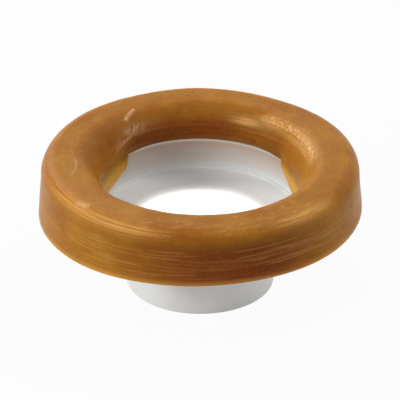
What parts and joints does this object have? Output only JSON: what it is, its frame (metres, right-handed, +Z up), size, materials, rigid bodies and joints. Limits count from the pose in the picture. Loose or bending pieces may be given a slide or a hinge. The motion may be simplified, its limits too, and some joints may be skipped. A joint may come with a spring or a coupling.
{
  "type": "toilet pan seal",
  "caption": "Soft wax ring cast round a white plastic horn that seals a toilet pan's outlet to the drain pipe.",
  "frame": {"origin": "middle of the sleeve's bottom edge, on the plane that the seal stands on", "axes": "+Z up along the horn's bore, from the drain pipe towards the toilet pan; -Y towards the side the picture shows in front, +X to its right"},
  "size_m": [0.133, 0.129, 0.0585],
  "materials": {
    "wax": "golden brown soft wax, semi-gloss, faint scrape lines round the wall and rubbed patches on top",
    "horn_plastic": "white moulded polyethylene, slightly translucent, soft gloss"
  },
  "bodies": {
    "root": {"wax_ring": "wax", "horn_sleeve": "horn_plastic"}
  },
  "joints": []
}
